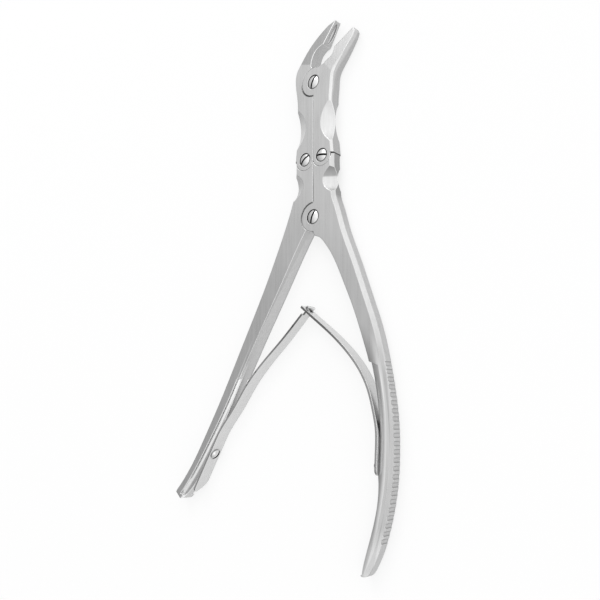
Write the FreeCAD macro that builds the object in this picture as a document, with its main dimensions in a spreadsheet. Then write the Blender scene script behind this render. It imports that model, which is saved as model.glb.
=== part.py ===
"""Double-action bone rongeur with curved jaws, lying on its back, +Z towards the viewer.

The origin is on the axis of the handle pivot, in the plane of the back faces.
+Y runs from the handle pivot to the jaw pivot, +X is the side the jaws curve to.
All sizes are in millimetres.
"""
import FreeCAD, Part
import Sketcher
import math
import os
from FreeCAD import Placement, Rotation, Vector

SIZES = [
    # the four forgings
    ("thickness", 7.0),
    ("pivot_span", 65.0),
    ("link_height", 28.0),
    ("link_offset", 4.9),
    ("block_half_width", 11.2),
    ("upper_waist", 10.3),
    ("lower_waist", 11.5),
    ("upper_hollow_inner", 4.3),
    ("upper_hollow_length", 21.0),
    ("upper_hollow_height", 43.8),
    ("lower_hollow_inner", 5.6),
    ("lower_hollow_length", 13.4),
    ("lower_hollow_height", 16.0),
    ("seam_gap", 0.1),
    ("lap_gap", 0.1),
    ("edge_bevel", 0.9),
    ("grip_round", 1.5),
    # lapped discs round the pivots
    ("jaw_disc_radius", 6.8),
    ("link_disc_radius", 5.05),
    ("handle_disc_radius", 6.6),
    ("jaw_shoulder", 5.9),
    ("handle_shoulder", 6.2),
    ("disc_clearance", 0.12),
    ("link_clearance", 0.15),
    # pivot and link screws
    ("pivot_head_radius", 3.0),
    ("link_head_radius", 2.75),
    ("pivot_shank_radius", 2.3),
    ("link_shank_radius", 1.8),
    ("running_clearance", 0.05),
    ("thread_gap", 0.02),
    ("jaw_pivot_play", 0.1),
    ("head_height", 1.35),
    ("head_rim", 0.6),
    ("recess_margin", 0.45),
    ("recess_depth", 0.8),
    ("slot_width", 0.8),
    ("slot_depth", 0.7),
    # jaws
    ("jaw_opening_angle", 12.0),
    ("heel_reach", 18.2),
    ("heel_angle", 61.0),
    ("tip_reach", 30.0),
    ("tip_angle", 54.4),
    ("jaw_tip_thickness", 3.9),
    ("cup_width", 3.0),
    ("cup_depth", 1.5),
    ("cup_length", 9.6),
    # grips
    ("flank_depth", 1.7),
    ("flank_round", 1.3),
    ("groove_radius", 1.5),
    ("groove_depth", 0.5),
    ("groove_pitch", 3.15),
    ("groove_inset", 1.15),
    # leaf springs and their screws
    ("leaf_thickness", 1.1),
    ("leaf_width", 6.2),
    ("leaf_tip_width", 4.8),
    ("leaf_straight", 9.0),
    ("leaf_corner", 2.4),
    ("left_foot_length", 17.0),
    ("right_foot_length", 3.8),
    ("right_leaf_overhang", 3.0),
    ("tongue_width", 2.4),
    ("tongue_length", 3.2),
    ("tongue_head", 1.4),
    ("tongue_play", 0.3),
    ("tongue_slot_overrun", 1.2),
    ("spring_head_radius", 2.4),
    ("spring_head_height", 1.7),
    ("spring_shank_radius", 1.2),
    ("spring_shank_length", 4.6),
    ("spring_shank_tip_gap", 0.2),
    ("spring_screw_inset", 4.0),
]

# Outlines at rest, as far as they aren't ruled by the sizes above. The jaws' points count from
# the jaw pivot, the handles' points from the handle pivot.
LEFT_JAW_BACK = [
    (-11.6, 4.6), (-10.6, 8.6), (-8.4, 11.6), (-5.2, 15.6), (-2.0, 18.9), (1.7, 21.9), (5.2, 24.5),
    (8.2, 26.3)]
LEFT_JAW_THROAT = [(2.9, 16.7), (0.7, 15.1), (-0.9, 12.2), (-1.4, 8.4)]
RIGHT_JAW_BACK = [(11.6, 2.0), (13.6, 5.2), (16.7, 9.2), (19.3, 12.7), (22.0, 16.4), (22.9, 18.4)]
RIGHT_JAW_THROAT = [(11.6, 12.0), (10.7, 10.2), (8.5, 8.8), (6.3, 7.3)]
LEFT_GRIP_OUTER = [
    (-12.9, 10.2), (-15.9, 2.1), (-22.6, -13.0), (-30.6, -29.2), (-46.1, -57.5), (-58.5, -79.8),
    (-64.0, -89.0), (-69.8, -98.4), (-75.2, -106.8), (-81.6, -115.4), (-88.4, -122.8)]
LEFT_GRIP_INNER = [
    (-4.1, -5.6), (-10.4, -15.0), (-20.1, -30.8), (-30.7, -47.6), (-40.8, -64.2), (-53.8, -87.0)]
LEFT_SEAT_END = (-66.6, -108.2)
LEFT_GRIP_END = [(-72.0, -116.0), (-78.2, -122.6), (-84.1, -126.9)]
LEFT_FLANGE = [(-46.2, -70.6), (-53.6, -83.2), (-64.0, -98.9), (-74.2, -113.2), (-84.0, -124.6)]
RIGHT_GRIP_OUTER = [
    (11.9, 8.9), (13.7, 3.1), (16.5, -6.0), (22.8, -22.3), (28.4, -37.6), (33.3, -51.3),
    (36.5, -63.7), (39.3, -79.0), (40.6, -91.9), (40.6, -101.9), (39.9, -112.2), (38.3, -121.8),
    (35.4, -132.6), (32.3, -140.7), (29.4, -146.1), (26.6, -149.3), (24.0, -149.5)]
RIGHT_GRIP_INNER = [
    (1.1, -8.9), (4.8, -10.8), (6.6, -12.8), (10.2, -17.8), (16.8, -31.1), (21.7, -42.3),
    (26.8, -56.4), (29.8, -65.8), (32.8, -81.1), (33.7, -91.5)]
LEFT_GROOVES = [(-51.6, -67.4), (-78.9, -112.0)]
RIGHT_GROOVES = [(37.3, -67.4), (33.8, -137.0)]
RIGHT_SEAT_END = (32.6, -111.5)
RIGHT_GRIP_END = [(30.5, -128.4), (28.1, -136.0), (25.4, -144.0), (24.0, -149.5)]
RIGHT_FLANGE = [
    (34.2, -68.0), (36.2, -78.0), (37.6, -92.0), (37.6, -102.0), (36.9, -112.0), (35.3, -121.7),
    (32.7, -131.4), (29.9, -139.6), (26.3, -148.0)]
SPRING_TIP = (-5.2, -41.7)
LEFT_LEAF_BEND = [(-11.6, -47.6), (-18.2, -53.6), (-29.0, -62.6), (-41.2, -74.8), (-48.7, -84.4)]
RIGHT_LEAF_BEND = [(-0.8, -45.2), (9.0, -52.9), (17.8, -61.0), (25.4, -70.4), (29.4, -78.6), (31.5, -86.4)]

# Where the ground tapers of the jaws begin, and how far the thinned flank of a grip is cut past
# the ends of its flange line
LEFT_JAW_CREASE = [(-8.6, 11.4), (-1.3, 9.2)]
RIGHT_JAW_CREASE = [(6.6, 7.2), (11.6, 0.8)]
FLANK_BELOW = (14, -6)
FLANK_ABOVE = (10, 4)
# The sides of the block: how far along from the link, which width it passes, and how much more
ARM_SIDE = [(0.14, "block_half_width", -0.5), (0.3, "upper_waist", 0.0), (0.5, "upper_waist", 0.0),
            (0.75, "upper_waist", -0.1), (0.89, "upper_waist", 0.4)]
HANDLE_SIDE = [(0.13, "block_half_width", -0.05), (0.34, "lower_waist", 0.0), (0.5, "lower_waist", 0.4)]
# Cutting boxes reach this far, more than any part needs
REACH = 60.0

doc = FreeCAD.newDocument("Rongeur")
sheet = doc.addObject("Spreadsheet::Sheet", "Sizes")
for row, (alias, value) in enumerate(SIZES, start=1):
    sheet.set(f"A{row}", alias)
    sheet.set(f"B{row}", str(value))
    sheet.setAlias(f"B{row}", alias)
doc.recompute()


def size(alias):
    """A driving size, read from the sheet."""
    return float(sheet.get(alias))


T = size("thickness")
MID = T / 2
SEAM = size("seam_gap") / 2
LAP = size("lap_gap") / 2
JAW_PIVOT = Vector(0, size("pivot_span"), 0)
HANDLE_PIVOT = Vector(0, 0, 0)
LEFT_LINK = Vector(-size("link_offset"), size("link_height"), 0)
RIGHT_LINK = Vector(size("link_offset"), size("link_height"), 0)


# Helpers for bodies, sketches and features

def new_body(label):
    body = doc.addObject("PartDesign::Body", label)
    body.Label = label
    return body


def new_sketch(body, name, height=None):
    """A sketch parallel to the body's XY plane, at a height that the sheet gives."""
    sketch = body.newObject("Sketcher::SketchObject", name)
    plane = [f for f in body.Origin.OriginFeatures if f.Role == "XY_Plane"][0]
    sketch.AttachmentSupport = [(plane, "")]
    sketch.MapMode = "FlatFace"
    if height:
        sketch.setExpression("AttachmentOffset.Base.z", height)
    return sketch


def flat(point):
    return Vector(point[0], point[1], 0)


def smooth(points, end_tangent=None):
    """A smooth curve through the points, with a given direction at its end if there is one."""
    curve = Part.BSplineCurve()
    spots = [flat(p) for p in points]
    if end_tangent:
        start = (spots[1] - spots[0]).normalize()
        curve.interpolate(Points=spots, InitialTangent=start, FinalTangent=end_tangent)
    else:
        curve.interpolate(spots)
    return curve


def add_outline(sketch, stretches):
    """Close an outline of stretches: curves, lines of two points and smooth rows of more points."""
    for stretch in stretches:
        if isinstance(stretch, Part.BSplineCurve):
            sketch.addGeometry(stretch)
        elif len(stretch) == 2:
            sketch.addGeometry(Part.LineSegment(flat(stretch[0]), flat(stretch[1])))
        else:
            sketch.addGeometry(smooth(stretch))


def add_circle(sketch, centre, radius):
    """A circle whose radius is an expression of the sheet."""
    index = sketch.addGeometry(Part.Circle(flat(centre), Vector(0, 0, 1), 1.0))
    number = sketch.addConstraint(Sketcher.Constraint("Radius", index, 1.0))
    sketch.setExpression(f"Constraints[{number}]", radius)


def pad(body, name, sketch, length):
    feature = body.newObject("PartDesign::Pad", name)
    feature.Profile = sketch
    feature.setExpression("Length", length)
    doc.recompute()
    return feature


def pocket(body, name, sketch, length, upward=False):
    """Cut down from the sketch, or up from it, and make sure that something was cut."""
    before = body.Shape.Volume
    feature = body.newObject("PartDesign::Pocket", name)
    feature.Profile = sketch
    feature.Reversed = upward
    feature.setExpression("Length", length)
    doc.recompute()
    if body.Shape.Volume > before - 1e-6:
        raise RuntimeError(f"{body.Label}: {name} cut nothing")
    return feature


def cut_with(body, kind, name, placement, **sizes):
    """Cut with a primitive solid whose sizes are expressions of the sheet, or numbers."""
    before = body.Shape.Volume
    feature = body.newObject(f"PartDesign::Subtractive{kind}", name)
    for key, value in sizes.items():
        if isinstance(value, str):
            feature.setExpression(key, value)
        else:
            setattr(feature, key, value)
    feature.Placement = placement
    doc.recompute()
    if body.Shape.Volume > before - 1e-6:
        raise RuntimeError(f"{body.Label}: {name} cut nothing")
    return feature


def dress(body, kind, name, chosen, amount, property_name):
    """Round or bevel the edges that chosen() picks."""
    base = body.Tip
    names = [f"Edge{i}" for i, edge in enumerate(base.Shape.Edges, start=1) if chosen(edge)]
    if not names:
        raise RuntimeError(f"{body.Label}: {name} found no edge")
    feature = body.newObject(f"PartDesign::{kind}", name)
    feature.Base = (base, names)
    feature.setExpression(property_name, amount)
    doc.recompute()
    if not feature.isValid():
        raise RuntimeError(f"{body.Label}: {name} failed")
    return feature


def on_curve(curve, heights):
    """A test for edges that follow a curve of the outline at one of the given heights."""
    def chosen(edge):
        middle = edge.valueAt((edge.FirstParameter + edge.LastParameter) / 2)
        level = [v.Point.z for v in edge.Vertexes] + [middle.z]
        if not any(max(abs(z - h) for z in level) < 1e-4 for h in heights):
            return False
        spots = [flat((v.Point.x, v.Point.y)) for v in edge.Vertexes] + [flat((middle.x, middle.y))]
        return all(curve.toShape().distToShape(Part.Vertex(p))[0] < 0.01 for p in spots)
    return chosen


def moved(points, origin):
    return [(x + origin.x, y + origin.y) for x, y in points]


def polar(origin, reach, angle):
    turn = math.radians(angle)
    return (origin.x + reach * math.cos(turn), origin.y + reach * math.sin(turn))


# Features that the forgings share

def lap_disc(body, name, centre, radius, front):
    """A half-thickness disc round a pivot, in the front or the back layer."""
    sketch = new_sketch(body, name + "_sketch", "Sizes.thickness / 2 + Sizes.lap_gap / 2" if front else None)
    add_circle(sketch, centre, radius)
    pad(body, name, sketch, "Sizes.thickness / 2 - Sizes.lap_gap / 2")


def lap_pocket(body, name, centre, radius, front):
    """Room for the other half's disc, in the front or the back layer."""
    sketch = new_sketch(body, name + "_sketch", "Sizes.thickness" if front else None)
    add_circle(sketch, centre, radius)
    pocket(body, name, sketch, "Sizes.thickness / 2 + Sizes.lap_gap / 2", upward=not front)


def link_disc(body, name, centre, front):
    """A lap disc at a link, cut flat along the centre seam."""
    side = 1 if centre.x > 0 else -1
    radius = size("link_disc_radius")
    half = math.sqrt(radius ** 2 - (abs(centre.x) - SEAM) ** 2)
    low, high = Vector(side * SEAM, centre.y - half, 0), Vector(side * SEAM, centre.y + half, 0)
    sketch = new_sketch(body, name + "_sketch", "Sizes.thickness / 2 + Sizes.lap_gap / 2" if front else None)
    sketch.addGeometry(Part.Arc(low, Vector(centre.x + side * radius, centre.y, 0), high))
    sketch.addGeometry(Part.LineSegment(high, low))
    pad(body, name, sketch, "Sizes.thickness / 2 - Sizes.lap_gap / 2")


def screw_hole(body, name, centre, radius):
    sketch = new_sketch(body, name + "_sketch", "Sizes.thickness")
    add_circle(sketch, centre, radius)
    pocket(body, name, sketch, "Sizes.thickness")


def head_recess(body, name, centre, head):
    sketch = new_sketch(body, name + "_sketch", "Sizes.thickness")
    add_circle(sketch, centre, f"Sizes.{head} + Sizes.recess_margin")
    pocket(body, name, sketch, "Sizes.recess_depth")


def corner_hollow(body, name, side, height, shape, front):
    """A ground hollow across a long corner of the block, as a wheel leaves it, down to mid thickness."""
    inner, outer, chord = shape
    run = outer - inner
    lean = math.atan2(run, MID)
    sag = run * math.cos(lean)
    wheel = (chord ** 2 / 4 + sag ** 2) / (2 * sag)
    face = T if front else 0.0
    out = 1 if front else -1
    normal = Vector(side * math.cos(lean), 0, out * math.sin(lean))
    centre = Vector(side * inner, height, face) + normal * wheel
    axis = Vector(-normal.z, 0, normal.x)
    length = 4 * T
    place = Placement(centre - axis * (length / 2), Rotation(Vector(0, 0, 1), axis))
    cut_with(body, "Cylinder", name, place, Radius=wheel, Height=length)


def wedge(body, name, crease_a, crease_b, tip, tip_depth, front):
    """Grind a taper: a flat from a crease on the face down to a depth below it at the tip."""
    face = T if front else 0.0
    out = 1 if front else -1
    a, b = Vector(crease_a[0], crease_a[1], face), Vector(crease_b[0], crease_b[1], face)
    c = Vector(tip[0], tip[1], face - out * tip_depth)
    along = (b - a).normalize()
    normal = along.cross(c - a).normalize()
    if normal.z * out < 0:
        normal = -normal
    ahead = normal.cross(along)
    if ahead.dot(c - a) < 0:
        along, ahead = -along, -ahead
    corner = a - along * (REACH / 2)
    matrix = FreeCAD.Matrix()
    matrix.A11, matrix.A21, matrix.A31 = along.x, along.y, along.z
    third = along.cross(ahead)
    matrix.A12, matrix.A22, matrix.A32 = ahead.x, ahead.y, ahead.z
    matrix.A13, matrix.A23, matrix.A33 = third.x, third.y, third.z
    if third.dot(normal) < 0:
        corner = corner + normal * T
    place = Placement(corner, Rotation(matrix))
    cut_with(body, "Box", name, place, Length=REACH, Width=REACH, Height=T)


def cup(body, name, heel, tip):
    """The scooped hollow in a jaw's biting edge."""
    heel, tip = flat(heel), flat(tip)
    along = (tip - heel).normalize()
    centre = heel + (tip - heel) * 0.5
    spot = Vector(centre.x, centre.y, MID)
    turn = math.degrees(math.atan2(along.y, along.x))
    place = Placement(spot, Rotation(Vector(0, 0, 1), turn))
    cut_with(body, "Ellipsoid", name, place, Radius1="Sizes.cup_width / 2",
             Radius2="Sizes.cup_length / 2", Radius3="Sizes.cup_depth", Angle1=-90, Angle2=90, Angle3=360)


def grip_grooves(body, curve, start, stop, outward):
    """Cross grooves at an even pitch along the outer edge of a grip."""
    pitch, radius, depth = size("groove_pitch"), size("groove_radius"), size("groove_depth")
    length = curve.length(start, stop)
    count = int(length // pitch)
    sketch = new_sketch(body, "grip_grooves_sketch", "Sizes.thickness - Sizes.groove_inset")
    for number in range(count + 1):
        at = curve.parameterAtDistance(number * pitch, start)
        spot, tangent = curve.value(at), curve.tangent(at)[0]
        normal = Vector(tangent.y, -tangent.x, 0) * outward
        add_circle(sketch, spot + normal * (radius - depth), "Sizes.groove_radius")
    pocket(body, "grip_grooves", sketch, "Sizes.thickness - 2 * Sizes.groove_inset")


def flank(body, curve_points, beyond):
    """Thin the inner side of a grip from the front and the back, with a rounded root."""
    heights = []
    for name, front in (("front_flank", True), ("back_flank", False)):
        sketch = new_sketch(body, name + "_sketch", "Sizes.thickness" if front else None)
        add_outline(sketch, [curve_points, [curve_points[-1], beyond[0]], [beyond[0], beyond[1]],
                             [beyond[1], curve_points[0]]])
        pocket(body, name, sketch, "Sizes.flank_depth", upward=not front)
        heights.append(T - size("flank_depth") if front else size("flank_depth"))
    root = on_curve(smooth(curve_points), heights)
    dress(body, "Fillet", "flank_roots", root, "Sizes.flank_round", "Radius")


def spring_screw_hole(body, name, seat, direction):
    """A blind hole in a grip for the spring's screw, square to the seat."""
    place = Placement(Vector(seat.x, seat.y, MID), Rotation(Vector(0, 0, 1), direction))
    cut_with(body, "Cylinder", name, place, Radius="Sizes.spring_shank_radius",
             Height="Sizes.spring_shank_length")


# Places that the springs, the grips and their screws share

def along_seat(start, end):
    """The seat's direction, from its upper end down, and its normal away from the grip."""
    direction = (flat(end) - flat(start)).normalize()
    return direction, Vector(-direction.y, direction.x, 0)


LEFT_SEAT_START = LEFT_GRIP_INNER[-1]
RIGHT_SEAT_START = RIGHT_GRIP_INNER[-1]
LEFT_DOWN, LEFT_AWAY = along_seat(LEFT_SEAT_START, LEFT_SEAT_END)
RIGHT_DOWN, RIGHT_AWAY = along_seat(RIGHT_SEAT_START, RIGHT_SEAT_END)
RIGHT_AWAY = -RIGHT_AWAY
LEFT_SCREW_SPOT = flat(LEFT_SEAT_END) - LEFT_DOWN * size("spring_screw_inset")
RIGHT_SCREW_SPOT = flat(RIGHT_SEAT_END) - RIGHT_DOWN * size("spring_screw_inset")


def jaw_bite(side):
    """The heel and the tip of a jaw's biting edge at rest."""
    turn = size("jaw_opening_angle") * (1 if side < 0 else -1)
    heel = polar(JAW_PIVOT, size("heel_reach"), size("heel_angle") + turn)
    tip = polar(JAW_PIVOT, size("tip_reach"), size("tip_angle") + turn)
    return heel, tip


def arm_side(side):
    """The outer side of the jaw arm, from the link up to the jaw pivot."""
    low, high = size("link_height"), size("pivot_span")
    start = (side * size("block_half_width"), low + SEAM)
    return [start] + [(side * (size(width) + more), low + (high - low) * along)
                      for along, width, more in ARM_SIDE]


def jaw_outline(side, back, throat):
    """One jaw forging: its arm from the link to the pivot, and the curved jaw beyond it."""
    heel, tip = jaw_bite(side)
    low = size("link_height") + SEAM
    outer = arm_side(side) + moved(back, JAW_PIVOT)
    seam_top = (side * SEAM, size("pivot_span") + size("jaw_shoulder"))
    return [[(side * SEAM, low), outer[0]], outer, [outer[-1], tip], [tip, heel],
            [heel] + moved(throat, JAW_PIVOT), [moved(throat, JAW_PIVOT)[-1], seam_top],
            [seam_top, (side * SEAM, low)]], outer, heel, tip


def make_jaw(label, side, back, throat, crease):
    """A jaw. The right one carries the front disc at the pivot, the left one the back disc."""
    front = side > 0
    body = new_body(label)
    stretches, outer, heel, tip = jaw_outline(side, back, throat)
    sketch = new_sketch(body, "outline")
    add_outline(sketch, stretches)
    pad(body, "forging", sketch, "Sizes.thickness")
    dress(body, "Chamfer", "edge_bevels", on_curve(smooth(outer), [0.0, T]), "Sizes.edge_bevel", "Size")
    link = RIGHT_LINK if front else LEFT_LINK
    lap_pocket(body, "pivot_room", JAW_PIVOT, "Sizes.jaw_disc_radius + Sizes.disc_clearance", not front)
    lap_disc(body, "pivot_disc", JAW_PIVOT, "Sizes.jaw_disc_radius", front)
    lap_pocket(body, "link_room", link, "Sizes.link_disc_radius + Sizes.link_clearance", False)
    link_disc(body, "link_disc", link, True)
    shape = (size("upper_hollow_inner"), size("upper_waist"), size("upper_hollow_length"))
    for name, face in (("front_hollow", True), ("back_hollow", False)):
        corner_hollow(body, name, side, size("upper_hollow_height"), shape, face)
    tip_depth = (T - size("jaw_tip_thickness")) / 2
    ground = moved(crease, JAW_PIVOT)
    for name, face in (("front_taper", True), ("back_taper", False)):
        wedge(body, name, ground[0], ground[1], tip, tip_depth, face)
    cup(body, "cup", heel, tip)
    pivot_hole = "Sizes.pivot_shank_radius + Sizes.jaw_pivot_play" if front else "Sizes.pivot_shank_radius"
    screw_hole(body, "pivot_hole", JAW_PIVOT, pivot_hole)
    screw_hole(body, "link_hole", link, "Sizes.link_shank_radius + Sizes.running_clearance")
    head_recess(body, "link_recess", link, "link_head_radius")
    if front:
        head_recess(body, "pivot_recess", JAW_PIVOT, "pivot_head_radius")
    return body


def handle_side(side):
    """The outer side of the handle's arm, from the link down to where the grip begins."""
    low = size("link_height")
    start = (side * size("block_half_width"), low - SEAM)
    return [start] + [(side * (size(width) + more), low * (1 - along)) for along, width, more in HANDLE_SIDE]


def make_handle(label, side, outer_points, inner_points, seat_end, end_points, flange_points):
    """A handle. The right one carries the front disc at the pivot, the left one the back disc."""
    front = side > 0
    body = new_body(label)
    top = size("link_height") - SEAM
    outer = handle_side(side) + outer_points
    shoulder = -size("handle_shoulder")
    last = end_points[-1]
    sketch = new_sketch(body, "outline")
    add_outline(sketch, [[outer[0], (side * SEAM, top)], [(side * SEAM, top), (side * SEAM, shoulder)],
                         [(side * SEAM, shoulder), inner_points[0]], inner_points,
                         [inner_points[-1], seat_end], [seat_end] + end_points]
                + ([[last, outer[-1]]] if last != outer[-1] else []) + [outer])
    pad(body, "forging", sketch, "Sizes.thickness")
    curve = smooth(outer)
    dress(body, "Chamfer", "edge_bevels", on_curve(curve, [0.0, T]), "Sizes.grip_round", "Size")
    link = RIGHT_LINK if front else LEFT_LINK
    lap_pocket(body, "pivot_room", HANDLE_PIVOT, "Sizes.handle_disc_radius + Sizes.disc_clearance", not front)
    lap_disc(body, "pivot_disc", HANDLE_PIVOT, "Sizes.handle_disc_radius", front)
    lap_pocket(body, "link_room", link, "Sizes.link_disc_radius + Sizes.link_clearance", True)
    link_disc(body, "link_disc", link, False)
    shape = (size("lower_hollow_inner"), size("lower_waist"), size("lower_hollow_length"))
    for name, face in (("front_hollow", True), ("back_hollow", False)):
        corner_hollow(body, name, side, size("lower_hollow_height"), shape, face)
    beyond = [(x - side * out, y + up) for (x, y), (out, up) in
              ((flange_points[-1], FLANK_BELOW), (flange_points[0], FLANK_ABOVE))]
    flank(body, flange_points, beyond)
    start, stop = [curve.parameter(flat(p)) for p in (RIGHT_GROOVES if side > 0 else LEFT_GROOVES)]
    grip_grooves(body, curve, start, stop, -side)
    screw = RIGHT_SCREW_SPOT if side > 0 else LEFT_SCREW_SPOT
    away = RIGHT_AWAY if side > 0 else LEFT_AWAY
    spring_screw_hole(body, "spring_hole", screw, -away)
    pivot_hole = "Sizes.pivot_shank_radius + Sizes.running_clearance" if front else "Sizes.pivot_shank_radius"
    screw_hole(body, "pivot_hole", HANDLE_PIVOT, pivot_hole)
    screw_hole(body, "link_hole", link, "Sizes.link_shank_radius")
    if front:
        head_recess(body, "pivot_recess", HANDLE_PIVOT, "pivot_head_radius")
    return body


def screw_profile(body, shank, head, length, head_height):
    """Half the section of a screw with a domed head, drawn to be turned about Z."""
    sketch = body.newObject("Sketcher::SketchObject", "section")
    plane = [f for f in body.Origin.OriginFeatures if f.Role == "XZ_Plane"][0]
    sketch.AttachmentSupport = [(plane, "")]
    sketch.MapMode = "FlatFace"
    rim = size("head_rim")
    corners = [(0, 0), (shank, 0), (shank, length), (head, length), (head, length + rim)]
    for start, end in zip(corners, corners[1:]):
        sketch.addGeometry(Part.LineSegment(flat(start), flat(end)))
    crown = (0, length + head_height)
    rise = head_height - rim
    ball = (head ** 2 + rise ** 2) / (2 * rise)
    half = math.asin(head / ball) / 2
    shoulder = (ball * math.sin(half), crown[1] - ball + ball * math.cos(half))
    sketch.addGeometry(Part.Arc(flat(corners[-1]), flat(shoulder), flat(crown)))
    sketch.addGeometry(Part.LineSegment(flat(crown), flat(corners[0])))
    feature = body.newObject("PartDesign::Revolution", "turned")
    feature.Profile = sketch
    axis = [f for f in body.Origin.OriginFeatures if f.Role == "Z_Axis"][0]
    feature.ReferenceAxis = (axis, [""])
    feature.Angle = 360
    doc.recompute()


def make_screw(label, shank, head, length, head_height, slot_angle, placement):
    """A slotted screw with a domed head, its tail end flush."""
    body = new_body(label)
    screw_profile(body, shank, head, length, head_height)
    width = size("slot_width")
    reach = head + width
    corner = Vector(-reach, -width / 2, length + head_height - size("slot_depth"))
    turn = Rotation(Vector(0, 0, 1), slot_angle)
    cut_with(body, "Box", "slot", Placement(turn.multVec(corner), turn), Length=2 * reach,
             Width="Sizes.slot_width", Height=head_height)
    body.Placement = placement
    return body


def make_block_screws():
    """The two pivot screws and the two link screws, all from the front."""
    seat = T - size("recess_depth") + size("running_clearance")
    for label, spot, kind, slot_angle in (
            ("jaw_pivot_screw", JAW_PIVOT, "pivot", 62), ("left_link_screw", LEFT_LINK, "link", 38),
            ("right_link_screw", RIGHT_LINK, "link", -8), ("handle_pivot_screw", HANDLE_PIVOT, "pivot", 66)):
        shank = size(f"{kind}_shank_radius") - size("thread_gap")
        make_screw(label, shank, size(f"{kind}_head_radius"), seat, size("head_height"), slot_angle,
                   Placement(spot, Rotation()))


def leaf_side(path, down, offset):
    """One face of a leaf, at an offset from the curve along its middle."""
    middle = smooth(path, down)
    spots = []
    for point in path:
        tangent = middle.tangent(middle.parameter(flat(point)))[0]
        spots.append(flat(point) + Vector(-tangent.y, tangent.x, 0) * offset)
    return smooth(spots, down), spots[0], spots[-1]


def make_leaf(label, screw_spot, down, away, bend, tip, foot_length):
    """A leaf spring that lies straight on its seat, then curves away to the tip."""
    body = new_body(label)
    half = size("leaf_thickness") / 2
    knee = screw_spot + away * half - down * size("leaf_straight")
    path = [tip] + bend + [knee]
    left_face, left_tip, left_knee = leaf_side(path, down, half)
    right_face, right_tip, right_knee = leaf_side(path, down, -half)
    straight = down * (foot_length + size("leaf_straight"))
    left_foot, right_foot = left_knee + straight, right_knee + straight
    sketch = new_sketch(body, "outline", "Sizes.thickness / 2 - Sizes.leaf_width / 2")
    add_outline(sketch, [left_face, [left_knee, left_foot], [left_foot, right_foot],
                         [right_foot, right_knee], right_face, [right_tip, left_tip]])
    pad(body, "strip", sketch, "Sizes.leaf_width")

    def at_foot(edge):
        spots = [flat(v.Point) for v in edge.Vertexes]
        ends = {0, 1} if len(spots) == 2 else set()
        found = {n for n in ends if min((spots[n] - left_foot).Length, (spots[n] - right_foot).Length) < 0.01}
        return found == {0, 1} and abs(edge.Vertexes[0].Point.z - edge.Vertexes[1].Point.z) < 0.01
    dress(body, "Fillet", "foot_corners", at_foot, "Sizes.leaf_corner", "Radius")
    return body, path


def taper_leaf(body, path):
    """Narrow the leaf from its full width at the bend to its tip width."""
    full, narrow = size("leaf_width"), size("leaf_tip_width")
    start, end = flat(path[-3]), flat(path[0])
    across = Vector(-(end - start).y, (end - start).x, 0).normalize()
    for name, out in (("front_edge", 1), ("back_edge", -1)):
        a = start + Vector(0, 0, MID + out * full / 2)
        b = a + across
        c = end + Vector(0, 0, MID + out * narrow / 2)
        along = (b - a).normalize()
        ahead = (c - a) - along * (c - a).dot(along)
        ahead = ahead.normalize()
        normal = along.cross(ahead)
        matrix = FreeCAD.Matrix()
        matrix.A11, matrix.A21, matrix.A31 = along.x, along.y, along.z
        matrix.A12, matrix.A22, matrix.A32 = ahead.x, ahead.y, ahead.z
        matrix.A13, matrix.A23, matrix.A33 = normal.x, normal.y, normal.z
        corner = a - along * REACH
        if normal.z * out < 0:
            corner = corner - normal * full
        cut_with(body, "Box", name, Placement(corner, Rotation(matrix)),
                 Length=2 * REACH, Width=2 * REACH, Height=full)


def box_along(body, name, start, direction, length, low, high):
    """Cut a box that follows a direction in the plane, between two heights."""
    wide = 4 * size("leaf_thickness")
    turn = Rotation(Vector(0, 0, 1), math.degrees(math.atan2(direction.y, direction.x)))
    corner = Vector(start.x, start.y, low) + turn.multVec(Vector(0, -wide / 2, 0))
    cut_with(body, "Box", name, Placement(corner, turn), Length=length, Width=wide, Height=high - low)


def leaf_screw_hole(body, spot, away):
    place = Placement(Vector(spot.x, spot.y, MID) - away, Rotation(Vector(0, 0, 1), away))
    cut_with(body, "Cylinder", "screw_hole", place,
             Radius="Sizes.spring_shank_radius + Sizes.running_clearance", Height=4 * size("leaf_thickness"))


def make_left_leaf():
    """The left leaf ends in a tongue with a cross head, which hooks through the right leaf."""
    head = flat(SPRING_TIP) - flat(LEFT_LEAF_BEND[0])
    ahead = head.normalize()
    beyond = size("leaf_thickness") / 2 + size("tongue_play") + size("tongue_head")
    tip = tuple(flat(SPRING_TIP) + ahead * beyond)[:2]
    body, path = make_leaf("left_spring_leaf", LEFT_SCREW_SPOT, LEFT_DOWN, LEFT_AWAY, LEFT_LEAF_BEND, tip,
                           size("left_foot_length"))
    taper_leaf(body, path)
    neck = flat(tip) - ahead * size("tongue_head")
    for name, low, high in (("tongue_front", MID + size("tongue_width") / 2, T),
                            ("tongue_back", 0.0, MID - size("tongue_width") / 2)):
        box_along(body, name, neck, -ahead, size("tongue_length"), low, high)
    leaf_screw_hole(body, LEFT_SCREW_SPOT, LEFT_AWAY)
    return body


def make_right_leaf():
    """The right leaf has a slot near its end that the left leaf's tongue passes through."""
    ahead = (flat(SPRING_TIP) - flat(RIGHT_LEAF_BEND[0])).normalize()
    tip = tuple(flat(SPRING_TIP) + ahead * size("right_leaf_overhang"))[:2]
    body, path = make_leaf("right_spring_leaf", RIGHT_SCREW_SPOT, RIGHT_DOWN, RIGHT_AWAY, RIGHT_LEAF_BEND, tip,
                           size("right_foot_length"))
    taper_leaf(body, path)
    half = size("tongue_width") / 2 + size("tongue_play")
    slot = size("leaf_thickness") + 2 * size("tongue_play")
    box_along(body, "slot", flat(SPRING_TIP) + ahead * (slot / 2), -ahead, slot + size("tongue_slot_overrun"),
              MID - half, MID + half)
    leaf_screw_hole(body, RIGHT_SCREW_SPOT, RIGHT_AWAY)
    return body


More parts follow.
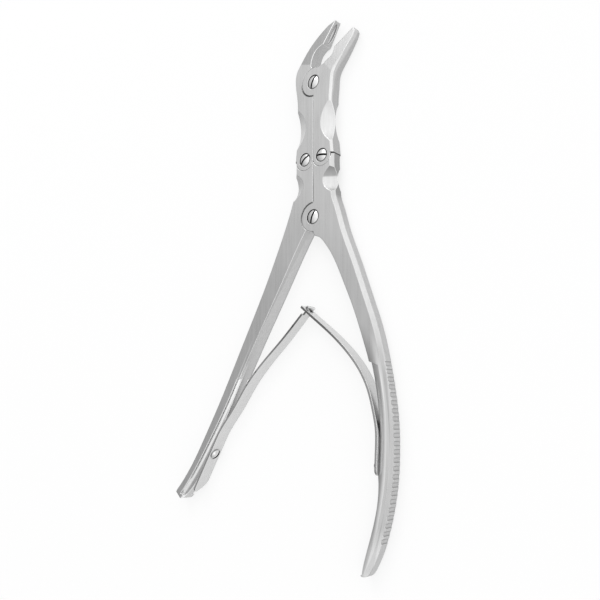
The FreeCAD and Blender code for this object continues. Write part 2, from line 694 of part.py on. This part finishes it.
def make_spring_screws():
    """The screws that hold the leaves on the grips, square to their seats."""
    depth = size("spring_shank_length") - size("spring_shank_tip_gap")
    for label, spot, away, slot_angle in (
            ("left_spring_screw", LEFT_SCREW_SPOT, LEFT_AWAY, 30),
            ("right_spring_screw", RIGHT_SCREW_SPOT, RIGHT_AWAY, 0)):
        base = Vector(spot.x, spot.y, MID) - away * depth
        make_screw(label, size("spring_shank_radius") - size("thread_gap"), size("spring_head_radius"),
                   depth + size("leaf_thickness"), size("spring_head_height"), slot_angle,
                   Placement(base, Rotation(Vector(0, 0, 1), away)))


make_jaw("jaw_left", -1, LEFT_JAW_BACK, LEFT_JAW_THROAT, LEFT_JAW_CREASE)
make_jaw("jaw_right", 1, RIGHT_JAW_BACK, RIGHT_JAW_THROAT, RIGHT_JAW_CREASE)
make_handle("handle_left", -1, LEFT_GRIP_OUTER, LEFT_GRIP_INNER, LEFT_SEAT_END, LEFT_GRIP_END, LEFT_FLANGE)
make_handle("handle_right", 1, RIGHT_GRIP_OUTER, RIGHT_GRIP_INNER, RIGHT_SEAT_END, RIGHT_GRIP_END, RIGHT_FLANGE)
make_block_screws()
make_left_leaf()
make_right_leaf()
make_spring_screws()
doc.recompute()

for thing in doc.Objects:
    if "Invalid" in thing.State or "Error" in thing.State:
        raise RuntimeError(f"{thing.Label} failed: {thing.State}")
bodies = [thing for thing in doc.Objects if thing.TypeId == "PartDesign::Body"]
for body in bodies:
    if body.Shape.isNull() or not body.Shape.isValid() or len(body.Shape.Solids) != 1:
        raise RuntimeError(f"{body.Label} isn't one valid solid")
os.makedirs("parts", exist_ok=True)
for body in bodies:
    body.Shape.exportStep(f"parts/{body.Label}.step")
    box = body.Shape.BoundBox
    print(f"{body.Label}: {body.Shape.Volume:.1f} mm3, x {box.XMin:.1f} to {box.XMax:.1f}, "
          f"y {box.YMin:.1f} to {box.YMax:.1f}, z {box.ZMin:.1f} to {box.ZMax:.1f}")
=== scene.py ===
"""The looks of the bone rongeur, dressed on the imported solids. Metres, in the row frame."""

import math

import bmesh
import bpy
from mathutils import Matrix, Vector


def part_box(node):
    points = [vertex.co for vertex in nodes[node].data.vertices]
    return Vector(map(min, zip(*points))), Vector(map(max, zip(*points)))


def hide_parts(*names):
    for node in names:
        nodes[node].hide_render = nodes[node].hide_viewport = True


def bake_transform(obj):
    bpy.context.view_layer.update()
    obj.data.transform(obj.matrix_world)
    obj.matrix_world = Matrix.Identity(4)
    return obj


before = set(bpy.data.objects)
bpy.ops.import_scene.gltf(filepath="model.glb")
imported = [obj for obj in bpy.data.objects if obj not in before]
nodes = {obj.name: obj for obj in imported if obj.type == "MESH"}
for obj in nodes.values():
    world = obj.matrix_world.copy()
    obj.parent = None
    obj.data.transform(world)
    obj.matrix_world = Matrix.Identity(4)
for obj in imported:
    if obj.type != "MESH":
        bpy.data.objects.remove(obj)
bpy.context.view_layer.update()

MM = 0.001

# The photograph's view
CAMERA_AT = Vector((0.1929, -0.09105, 0.2355))
CAMERA_AIM = Vector((0.00839, -0.0372, 0.007))
CAMERA_LENS = 41.66
CAMERA_SHIFT = (-0.0455, -0.006)

# Places and sizes that the looks need, as in the source of the solids
JAW_PIVOT = Vector((0, 65, 0)) * MM
HANDLE_PIVOT = Vector((0, 0, 0)) * MM
LEFT_LINK = Vector((-4.9, 28, 0)) * MM
RIGHT_LINK = Vector((4.9, 28, 0)) * MM
JAW_DISC = 6.86 * MM
HANDLE_DISC = 6.66 * MM
PIVOT_RECESS = 3.25 * MM
LINK_RECESS = 3.0 * MM
LINK_SHOULDER = 9.9 * MM
GRIP_BEND = Vector((-108.3, -94.0, 0)) * MM
GRIP_CROWN = 144.9 * MM
GRIP_BEVEL = 147.6 * MM
FLANK_TOP = 5.3 * MM
LOWER_HOLLOW = Vector((7, 15, 0)) * MM
FADING_ROOT = Vector((-46.2, -70.6, 0)) * MM
LEFT_JAW_CREASE = Vector((-5.0, 75.3, 0)) * MM
SPRING_TIP = Vector((-5.2, -41.7, 3.5)) * MM
LEFT_SEAT_TOP = Vector((-53.8, -87.0, 3.5)) * MM
LEFT_SEAT_END = Vector((-66.6, -108.2, 3.5)) * MM
RIGHT_SEAT_TOP = Vector((33.7, -91.5, 3.5)) * MM
LEAF_BACK = 0.4 * MM
LEAF_WIDTH = 6.2 * MM
FOOT_SLANT = 5.5 * MM
FOOT_START = 2 * MM

# Directions: ahead of the left jaw's crease and of the right arm's lower hollow, the way that the left
# grip's inner side looks, and across the spring screws' slots
SLANT_AHEAD = (0.3, 0.95)
GRIP_INNER_SIDE = (0.86, -0.5, 0)
LEFT_SLOT_ACROSS = (0.25, 0.413, 0.876)
RIGHT_SLOT_ACROSS = (0.055, 0.996, -0.055)

# Each lapped disc's middle and radius, and the side on which the painted shade in its joint line is
# darkest
JAW_JOINT = (JAW_PIVOT, JAW_DISC, (-0.5, -0.87, 0))
HANDLE_JOINT = (HANDLE_PIVOT, HANDLE_DISC, (-0.75, 0.66, 0))

# Tone and roughness of the forgings, the spring leaves, the pivots' screws and the leaves' screws
FORGED = (0.62, 0.3)
SPRUNG = (0.66, 0.24)
BRIGHT_TURNED = (0.8, 0.16)
SATIN_TURNED = (0.7, 0.2)

# Brush marks for each metre across, along and through the steel, and the turned rings' angle
FINE_BRUSH = (5200, 90, 5200)
BROAD_BRUSH = (1100, 28, 1100)
TURNED_RINGS = 24000.0
MARK_DEPTH = 0.02 * MM

# How far the edges' rounding and the painted shade from occlusion reach, and the tones of the painted
# shade, of the edges' wear with painted highlight, and of the painted highlights
EDGE_ROUNDING = 0.42 * MM
OCCLUSION_REACH = 0.9 * MM
PAINTED_SHADE_TONE = 0.02
SLOT_SHADE_TONE = 0.01
WEAR_AND_HIGHLIGHT_TONE = 0.9
HIGHLIGHT_TONE = 0.95

# Half the width of a fine line and of a screw's slot: where they start to fade and where they end
FINE_LINE = (0.141 * MM, 0.4 * MM)
SCREW_SLOT = (0.412 * MM, 0.5 * MM)

# The studio: the side that the light comes from, how bright it is there and opposite, and the floor
BRIGHT_SIDE = Vector((0.8, 0.42, 0.42)).normalized()
WORLD_DARK = 0.2
WORLD_LIGHT = 1.48
FLOOR_RADIUS = 3.0
FLOOR_GLOW = 0.75


class Signal:
    """One socket of a finish. Sums and products of signals add Math nodes."""

    def __init__(self, graph, socket):
        self.graph = graph
        self.socket = socket

    def math(self, operation, *values):
        return self.graph.node("ShaderNodeMath", {"operation": operation}, *values)

    def __add__(self, other):
        return self.math("ADD", self, other)

    def __radd__(self, other):
        return self.math("ADD", other, self)

    def __sub__(self, other):
        return self.math("SUBTRACT", self, other)

    def __rsub__(self, other):
        return self.math("SUBTRACT", other, self)

    def __mul__(self, other):
        return self.math("MULTIPLY", self, other)

    def __rmul__(self, other):
        return self.math("MULTIPLY", other, self)

    def larger(self, other):
        return self.math("MAXIMUM", self, other)

    def smaller(self, other):
        return self.math("MINIMUM", self, other)

    def clamped(self, low, high):
        """Spread the stretch from low to high over 0 to 1, and cut off the rest."""
        return self.graph.node("ShaderNodeMapRange", {"clamp": True}, self, low, high, 0.0, 1.0)

    def off(self, core, rim):
        """0 where a distance is shorter than the core, 1 where it is longer than the rim."""
        return (self * self * MM ** -2).clamped((core / MM) ** 2, (rim / MM) ** 2)

    def near(self, core, rim):
        """1 where a distance is shorter than the core, 0 where it is longer than the rim."""
        return 1 - self.off(core, rim)


class Graph:
    """The nodes of a material or of the world, added one by one."""

    # The sockets of a Mix node for each kind: the two values and the result
    MIXES = {"RGBA": (6, 7, 2), "VECTOR": (4, 5, 1)}

    def __init__(self, owner):
        self.owner = owner
        self.coordinates = {}
        owner.use_nodes = True
        self.tree = owner.node_tree
        self.tree.nodes.clear()

    def node(self, kind, settings=None, *values, out=0, **named):
        """Add a node, set its settings and then its sockets, and return one of its outputs."""
        made = self.tree.nodes.new(kind)
        for key, value in (settings or {}).items():
            setattr(made, key, value)
        for key, value in list(enumerate(values)) + list(named.items()):
            self.feed(made.inputs[key if isinstance(key, int) else key.replace("_", " ")], value)
        return Signal(self, made.outputs[out])

    def feed(self, socket, value):
        """Link a signal to a socket, or write a plain value on it."""
        if isinstance(value, Signal):
            self.tree.links.new(value.socket, socket)
        else:
            socket.default_value = value

    def vector(self, operation, *values, out=0, **named):
        return self.node("ShaderNodeVectorMath", {"operation": operation}, *values, out=out, **named)

    def dot(self, first, second):
        return self.vector("DOT_PRODUCT", first, second, out="Value")

    def length(self, way):
        return self.vector("LENGTH", way, out="Value")

    def turned(self, direction, start, end):
        """A direction in the piece's own frame or in the studio's, turned into the other."""
        return self.node("ShaderNodeVectorTransform",
                         {"vector_type": "NORMAL", "convert_from": start, "convert_to": end}, direction)

    def mixed(self, share, first, second, kind="RGBA"):
        """A colour between two colours, or a direction between two directions."""
        one, other, result = self.MIXES[kind]
        made = self.tree.nodes.new("ShaderNodeMix")
        made.data_type = kind
        for index, value in ((0, share), (one, first), (other, second)):
            self.feed(made.inputs[index], value)
        return Signal(self, made.outputs[result])

    def coordinate(self, kind):
        if kind not in self.coordinates:
            self.coordinates[kind] = self.node("ShaderNodeTexCoord", out=kind)
        return self.coordinates[kind]

    def place(self):
        return self.coordinate("Object")

    def at(self, direction):
        """How far a place lies along a direction."""
        return self.dot(self.place(), direction)

    def facing(self, direction):
        """How straight a face looks along a direction."""
        return self.dot(self.coordinate("Normal"), direction)

    def upward(self):
        """1 where a face looks up, 0 on the sides."""
        return self.facing((0, 0, 1)).clamped(0.45, 0.75)

    def beyond(self, point, direction, soft=0.3 * MM):
        """0 on one side of a line through a point in the plane, 1 on the side that a direction shows."""
        ahead = Vector((direction[0], direction[1], 0)).normalized()
        start = Vector((point[0], point[1], 0)).dot(ahead)
        return self.at(ahead).clamped(start - soft, start + soft)

    def lower(self, y, soft):
        """0 nearer the jaws than a line across the tool, 1 nearer the ends of the grips."""
        return self.beyond((0, y), (0, -1), soft)

    def higher(self, low, full):
        """0 under one level above the back faces, 1 over another."""
        return self.at((0, 0, 1)).clamped(low, full)

    def painted_occlusion(self, reach):
        """Ambient occlusion, used as painted shade: 0 deep in gaps, slots and grooves, 1 on open faces.
        """
        return self.node("ShaderNodeAmbientOcclusion", {"samples": 8}, Distance=reach, out="AO")

    def softened(self, radius, samples=8):
        """The direction that a face would have with its edges rounded."""
        return self.node("ShaderNodeBevel", {"samples": samples}, radius)

    def noise(self, place, scale, roughness):
        return self.node("ShaderNodeTexNoise", None, place, Scale=scale, Detail=3.0, Roughness=roughness)

    def metal(self, colour, rough, normal):
        shader = self.node("ShaderNodeBsdfPrincipled", None, Base_Color=colour, Metallic=1.0,
                           Roughness=rough, Normal=normal)
        return self.close(shader)

    def close(self, shader, kind="ShaderNodeOutputMaterial"):
        made = self.tree.nodes.new(kind)
        self.feed(made.inputs["Surface"], shader)
        return self.owner


def new_finish(name):
    return Graph(bpy.data.materials.new(name))


def grey(tone):
    return (tone, tone, tone, 1)


def brushed_steel(name, look, along, shades, gleam=None, front=None, grain=1.0):
    """Satin stainless steel, brushed along a direction in the plane, with softly broken edges, worn and
    lit by a painted highlight, and painted shade in its gaps.

    look is its tone and roughness. shades(finish) gives the share of its tone that each place keeps
    under painted shade, and gleam(finish) where a painted highlight lies. front(finish) gives where the
    front is rounded as a whole, and the direction that it faces there.
    """
    tone, roughness = look
    finish = new_finish(name)
    place = finish.place()
    turn = (0, 0, math.atan2(along[0], along[1]))
    fine = finish.node("ShaderNodeMapping", None, place, (0, 0, 0), turn, FINE_BRUSH)
    broad = finish.node("ShaderNodeMapping", None, place, (0, 0, 0), turn, BROAD_BRUSH)
    bands = finish.noise(broad, 1.0, 0.6)
    clouds = finish.noise(place, 90.0, 0.5)
    scratch = finish.noise(fine, 1.0, 0.6) * 0.5 + bands * 0.5
    streak = bands.clamped(0.32, 0.68) * 0.7 + clouds.clamped(0.3, 0.7) * 0.3
    spread = 0.07 * grain
    steel = finish.mixed(streak, grey(tone * (1 - spread)), grey(tone * (1 + spread)))

    edges = finish.softened(EDGE_ROUNDING)
    facet = finish.node("ShaderNodeNewGeometry", out="Normal")
    # The edges are painted bright: partly wear, partly a painted highlight where the rounding would
    # catch the light
    worn_and_highlit = 1 - finish.dot(edges, facet).clamped(0.86, 0.992)
    # Painted shade: occlusion darkens the steel's colour in gaps, slots and grooves
    kept = finish.painted_occlusion(OCCLUSION_REACH) * 0.75 + 0.25
    normal = edges
    if front:
        share, rounded = front(finish)
        worn_and_highlit = worn_and_highlit * (1 - share)
        kept = kept.larger(share)
        normal = finish.mixed(share, edges, rounded, "VECTOR")
    # Painted shade on the faces and places that shades() picks
    kept = kept * shades(finish)
    worn_and_highlit = worn_and_highlit * kept.clamped(0.15, 0.5) * 0.85
    # Painted shade darkens the steel, then the worn edges with their painted highlight lighten it
    colour = finish.mixed(worn_and_highlit, finish.mixed(kept, grey(PAINTED_SHADE_TONE), steel), grey(WEAR_AND_HIGHLIGHT_TONE))
    if gleam:
        # Painted highlight
        colour = finish.mixed(gleam(finish), colour, grey(HIGHLIGHT_TONE))

    rough = (scratch - 0.5) * 0.25 * grain + (clouds - 0.5) * 0.1 + roughness
    bump = finish.node("ShaderNodeBump", None, Strength=0.15 * grain, Distance=MARK_DEPTH,
                       Height=scratch, Normal=normal)
    return finish.metal(colour, rough, bump)


def turned_steel(name, look, centre, across):
    """Steel with the fine rings that turning leaves round a screw's middle, painted shade in its gaps,
    and a slot painted dark as shade.

    look is its tone and roughness, and across the direction across the slot.
    """
    tone, roughness = look
    finish = new_finish(name)
    place = finish.place()
    offset = finish.vector("SUBTRACT", place, tuple(centre))
    rings = finish.node("ShaderNodeMath", {"operation": "SINE"}, finish.length(offset) * TURNED_RINGS)
    rings = rings * 0.5 + 0.5
    clouds = finish.noise(place, 700.0, 0.6)
    steel = finish.mixed(clouds, grey(tone * 0.88), grey(tone * 1.08))
    # Painted shade: occlusion darkens the gaps round the head, and the slot is painted dark
    kept = finish.painted_occlusion(0.8 * MM) * 0.8 + 0.2
    kept = kept * finish.dot(offset, across).off(*SCREW_SLOT)
    colour = finish.mixed(kept, grey(SLOT_SHADE_TONE), steel)
    rough = rings * 0.05 + (clouds - 0.5) * 0.1 + roughness
    bump = finish.node("ShaderNodeBump", None, Strength=0.1, Distance=MARK_DEPTH, Height=rings,
                       Normal=finish.softened(0.15 * MM, samples=4))
    return finish.metal(colour, rough, bump)


def dark_ring(finish, centre, radius, half_width, darkest=None):
    """1 on a ring round an axis, or only on its left half, round the side that a direction shows: a mask
    of painted shade.
    """
    flat = finish.vector("MULTIPLY", finish.place(), (1, 1, 0))
    offset = finish.vector("SUBTRACT", flat, tuple(centre))
    ring = (finish.length(offset) - radius).near(half_width / 2, half_width)
    if darkest:
        ring = ring * finish.dot(offset, darkest).clamped(-0.2 * radius, 0.9 * radius)
        ring = ring * finish.dot(offset, (-1, 0, 0)).clamped(-0.3 * MM, 0.1 * MM)
    return ring


def joint_lines(finish, joint, link):
    """The painted shade in the joint lines, darkest on one side, in the two screw recesses and in the
    cleft beside the link: the share of the steel's tone that is left.
    """
    pivot, disc, darkest = joint
    line = dark_ring(finish, pivot, disc, 0.5 * MM, darkest) * finish.upward()
    recess = dark_ring(finish, pivot, PIVOT_RECESS, 0.36 * MM)
    recess = recess + dark_ring(finish, link, LINK_RECESS, 0.36 * MM)
    cleft = finish.at((1, 0, 0)).off(LINK_SHOULDER - 0.1 * MM, LINK_SHOULDER + 0.1 * MM)
    cleft = cleft * (finish.at((0, 1, 0)) - link.y).near(*FINE_LINE)
    return (1 - line * 0.88) * (1 - recess * 0.5) * (1 - cleft * 0.9)


def left_jaw_shades(finish):
    """Painted shade: the left jaw's ground front is darker than its flat, and so are its sides."""
    top = finish.upward()
    ground = finish.beyond(LEFT_JAW_CREASE, SLANT_AHEAD) * top
    return (1 - ground * 0.32) * (0.78 + top * 0.22) * joint_lines(finish, JAW_JOINT, LEFT_LINK)


def inner_edge(finish, radius, direction, low, full):
    """1 along the edges that look in a direction once they are rounded, 0 beside them."""
    rounded = finish.turned(finish.softened(radius), "WORLD", "OBJECT")
    return finish.dot(rounded, direction).clamped(low, full)


def left_jaw_gleam(finish):
    """A painted highlight along the inner edge of the left jaw's ground front."""
    edge = inner_edge(finish, 0.9 * MM, (0.85, -0.5, 0), 0.12, 0.35)
    front = finish.higher(5.1 * MM, 5.25 * MM) * finish.upward()
    return edge * front * finish.beyond(LEFT_JAW_CREASE, SLANT_AHEAD) * 0.9


def right_jaw_shades(finish):
    """The right jaw's sides have painted shade, darker than its front, and are painted lighter again
    where they turn over to it.
    """
    turning = finish.at((0.046, 0.065, 1)).clamped(8.9 * MM, 10.0 * MM) * 0.9
    lit = finish.upward().larger(turning)
    return (0.74 + lit * 0.26) * joint_lines(finish, JAW_JOINT, RIGHT_LINK)


def left_grip_shades(finish):
    """Painted shade: the left grip's front is darker than its inner side, most of all along its outer
    edge.
    """
    low = finish.lower(-10 * MM, 25 * MM)
    edge = finish.at((0, 0.07, 1)).clamped(3.1 * MM, 3.3 * MM)
    front = finish.upward().larger(edge)
    outward = finish.facing((-1, 0, 0)).clamped(0.1, 0.6)
    inward = finish.facing(GRIP_INNER_SIDE).clamped(0.5, 0.9)
    kept = (1 - front * low * 0.17) * (1 - outward * 0.28) * (1 - inward * 0.11)
    return kept * joint_lines(finish, HANDLE_JOINT, LEFT_LINK)


def left_grip_gleam(finish):
    """A painted highlight along the root of the thinned flank, and above it a painted highlight line
    that fades out.
    """
    root = inner_edge(finish, 1.3 * MM, GRIP_INNER_SIDE, 0.12, 0.45)
    root = root * finish.higher(FLANK_TOP - 0.3 * MM, FLANK_TOP - 0.1 * MM)
    root = root * finish.lower(-66 * MM, 4 * MM) * 0.85
    across = Vector((0.872, -0.489, 0))
    line = (finish.at(across) - FADING_ROOT.dot(across)).near(*FINE_LINE)
    line = line * finish.lower(-59.5 * MM, 9.5 * MM) * (1 - finish.lower(-70.5 * MM, 0.5 * MM))
    return root + line * 0.6


def grooved(finish):
    """1 on the slopes of the cross grooves in the right grip's outer side, 0 beside them."""
    smooth = finish.at((0, 1, 0)) * 6.7 + 0.63
    slope = finish.facing((0, 1, 0)) - smooth
    return (slope * slope).clamped(0.06, 0.3) * (1 - finish.facing((0, 0, 1)).clamped(0.5, 0.9))


def right_grip_shades(finish):
    """Painted shade: the right grip's sides are darker than its front, and its grooves darker still."""
    top = finish.upward()
    arm = finish.lower(-14 * MM, 12 * MM)
    sides = 0.84 + top * 0.16 - arm * top * 0.1
    # Painted shade on the lower bevel and on the lower hollow's wall
    low = finish.lower(-52 * MM, 12 * MM) + finish.lower(-88 * MM, 8 * MM) * 0.6
    bevel = finish.facing((0.7, 0, 0.7)).clamped(0.85, 1.0)
    hollow = finish.beyond(LOWER_HOLLOW, SLANT_AHEAD, 1 * MM)
    hollow = hollow * finish.facing((0, -1, 0)).clamped(0.12, 0.2)
    kept = sides * (1 - low * bevel * 0.22) * (1 - grooved(finish) * 0.4) * (1 - hollow * 0.45)
    # Painted shade in the seam beside the other handle
    seam = (finish.at((1, 0, 0)) - 0.3 * MM).near(0.141 * MM, 0.346 * MM) * top
    seam = seam * finish.lower(19 * MM, 4 * MM) * finish.beyond((0, 7 * MM), (0, 1))
    return kept * joint_lines(finish, HANDLE_JOINT, RIGHT_LINK) * (1 - seam * 0.45)


def from_bend(finish):
    """The way from the middle of the right grip's bend to a place, flat, and its length."""
    flat = finish.vector("MULTIPLY", finish.place(), (1, 1, 0))
    way = finish.vector("SUBTRACT", flat, tuple(GRIP_BEND))
    return way, finish.length(way)


def over_flank(finish):
    """1 from the level of the right grip's thinned flank upwards, 0 on the sides below it."""
    return finish.higher(FLANK_TOP - 0.15 * MM, FLANK_TOP - 0.05 * MM)


def right_grip_front(finish):
    """The right grip's front is rounded from edge to edge, below the arm."""
    way, reach = from_bend(finish)
    tilt = ((reach - GRIP_CROWN + 0.6 * MM) * 190.0).smaller(0.25)
    lean = finish.vector("SCALE", finish.vector("NORMALIZE", way), Scale=tilt)
    ahead = finish.turned(finish.vector("ADD", lean, (0, 0, 1)), "OBJECT", "WORLD")
    inside = 1 - reach.clamped(GRIP_BEVEL - 0.2 * MM, GRIP_BEVEL + 0.2 * MM)
    share = finish.lower(-62 * MM, 12 * MM) * over_flank(finish) * inside
    return share, finish.vector("NORMALIZE", ahead)


def right_grip_gleam(finish):
    """A painted highlight along the crown of the right grip's rounded front, and at its end."""
    crown = (from_bend(finish)[1] - GRIP_CROWN).near(0.316 * MM, 1.414 * MM)
    crown = crown * finish.lower(-66 * MM, 12 * MM) * over_flank(finish) * 0.6
    end = finish.lower(-135 * MM, 5 * MM) * finish.upward() * 0.55
    return crown.larger(end)


def dress(node, material):
    piece = nodes[node]
    piece.data.materials.clear()
    piece.data.materials.append(material)


def make_forgings():
    for node, name, along, *looks in (
            ("jaw_left", "left_jaw_steel", (0, 1), left_jaw_shades, left_jaw_gleam),
            ("jaw_right", "right_jaw_steel", (0, 1), right_jaw_shades),
            ("handle_left", "left_grip_steel", (0.5, 0.86), left_grip_shades, left_grip_gleam),
            ("handle_right", "right_grip_steel", (-0.1, 1), right_grip_shades, right_grip_gleam,
             right_grip_front)):
        dress(node, brushed_steel(name, FORGED, along, *looks))


def middle(node):
    low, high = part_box(node)
    return (Vector(low) + Vector(high)) / 2


def make_screws():
    """The pivots' screws are bright, with slots at an angle each, and the leaves' screws are satin."""
    for node, slot_angle in (
            ("jaw_pivot_screw", 62),
            ("handle_pivot_screw", 66),
            ("left_link_screw", 38),
            ("right_link_screw", -8)):
        turn = math.radians(slot_angle)
        across = (-math.sin(turn), math.cos(turn), 0)
        dress(node, turned_steel(node + "_steel", BRIGHT_TURNED, middle(node), across))
    for node, across in (
            ("left_spring_screw", LEFT_SLOT_ACROSS),
            ("right_spring_screw", RIGHT_SLOT_ACROSS)):
        dress(node, turned_steel(node + "_steel", SATIN_TURNED, middle(node), across))


def added(name, data):
    piece = bpy.data.objects.new(name, data)
    bpy.context.scene.collection.objects.link(piece)
    return piece


def copied(node, name):
    """A copy of a node's mesh as a piece of its own, its faces joined where they meet."""
    mesh = nodes[node].data.copy()
    mesh.name = name
    shell = bmesh.new()
    shell.from_mesh(mesh)
    bmesh.ops.remove_doubles(shell, verts=shell.verts, dist=0.002 * MM)
    shell.to_mesh(mesh)
    shell.free()
    return added(name, mesh)


def leaf_shades(finish):
    """Painted shade: the leaves' sheared edges are darker, most of all near their tips."""
    near = 1 - finish.lower(-58 * MM, 8 * MM)
    return 1 - finish.upward() * (0.4 + near * 0.35)


def slant_foot(piece):
    """The left leaf's foot is cut slanting, longest at its front edge."""
    down = (LEFT_SEAT_END - LEFT_SEAT_TOP).normalized()
    shell = bmesh.new()
    shell.from_mesh(piece.data)
    reach = {v: (v.co - LEFT_SEAT_END).dot(down) for v in shell.verts}
    last = max(reach.values())
    for v, along in reach.items():
        if along > FOOT_START:
            share = (along - FOOT_START) / (last - FOOT_START) * (v.co.z - LEAF_BACK) / LEAF_WIDTH
            v.co += down * (FOOT_SLANT * share)
    shell.to_mesh(piece.data)
    shell.free()


def make_springs():
    """Each leaf becomes a piece of its own in the leaves' steel, the left one with its foot cut
    slanting; the solids are hidden.
    """
    leaf = brushed_steel("leaf_steel", SPRUNG, (0.6, 0.8), leaf_shades, grain=0.7)
    for node, start, end in (
            ("left_spring_leaf", LEFT_SEAT_TOP, SPRING_TIP * 2 - LEFT_SEAT_TOP),
            ("right_spring_leaf", SPRING_TIP * 2 - RIGHT_SEAT_TOP, RIGHT_SEAT_TOP)):
        piece = copied(node, node + "_strip")
        piece.data.materials.clear()
        piece.data.materials.append(leaf)
        if node == "left_spring_leaf":
            slant_foot(piece)
        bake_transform(piece)
        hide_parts(node)


def make_floor():
    """A wide white floor that keeps the soft shadow and looks white to the camera and in the steel."""
    shell = bmesh.new()
    bmesh.ops.create_circle(shell, cap_ends=True, segments=96, radius=FLOOR_RADIUS)
    mesh = bpy.data.meshes.new("floor")
    shell.to_mesh(mesh)
    shell.free()
    floor = added("floor", mesh)
    finish = new_finish("floor_paper")
    seen, mirrored, through = (finish.node("ShaderNodeLightPath", out=ray)
                               for ray in ("Is Camera Ray", "Is Glossy Ray", "Is Transmission Ray"))
    share = (seen + mirrored + through) * FLOOR_GLOW
    paper = finish.node("ShaderNodeBsdfDiffuse", None, grey(0.9))
    glow = finish.node("ShaderNodeEmission", None, grey(1.0), 1.0)
    mesh.materials.append(finish.close(finish.node("ShaderNodeMixShader", None, share, paper, glow)))


def make_world():
    """Soft studio surroundings, brighter towards the upper right than towards the left."""
    world = bpy.data.worlds.new("studio")
    bpy.context.scene.world = world
    graph = Graph(world)
    share = graph.dot(graph.coordinate("Generated"), BRIGHT_SIDE) * 0.5 + 0.5
    colour = graph.mixed(share, grey(WORLD_DARK), grey(WORLD_LIGHT))
    graph.close(graph.node("ShaderNodeBackground", None, colour, 1.0), "ShaderNodeOutputWorld")


def add_lamp(name, at, aim, side, power):
    data = bpy.data.lights.new(name, "AREA")
    data.shape = "RECTANGLE"
    data.size = side
    data.size_y = side
    data.energy = power
    lamp = added(name, data)
    lamp.location = at
    lamp.rotation_euler = (Vector(aim) - Vector(at)).to_track_quat("-Z", "Y").to_euler()


def make_lamps():
    add_lamp("key", (-0.25, 1.1, 0.9), (0, -0.03, 0), 0.5, 2)
    add_lamp("fill", (1.1, -0.5, 0.8), (0, -0.03, 0), 0.9, 0.6)


def make_camera():
    data = bpy.data.cameras.new("camera")
    data.lens = CAMERA_LENS
    data.sensor_width = 36
    data.shift_x, data.shift_y = CAMERA_SHIFT
    data.clip_start = 0.01
    camera = added("camera", data)
    ahead = (CAMERA_AIM - CAMERA_AT).normalized()
    right = ahead.cross(Vector((0, 1, 0))).normalized()
    turn = Matrix((right, right.cross(ahead), -ahead)).transposed().to_4x4()
    camera.matrix_world = Matrix.Translation(CAMERA_AT) @ turn
    bpy.context.scene.camera = camera


make_forgings()
make_screws()
make_springs()
make_floor()
make_world()
make_lamps()
make_camera()
bpy.context.scene.view_settings.view_transform = "Standard"

bpy.context.view_layer.update()
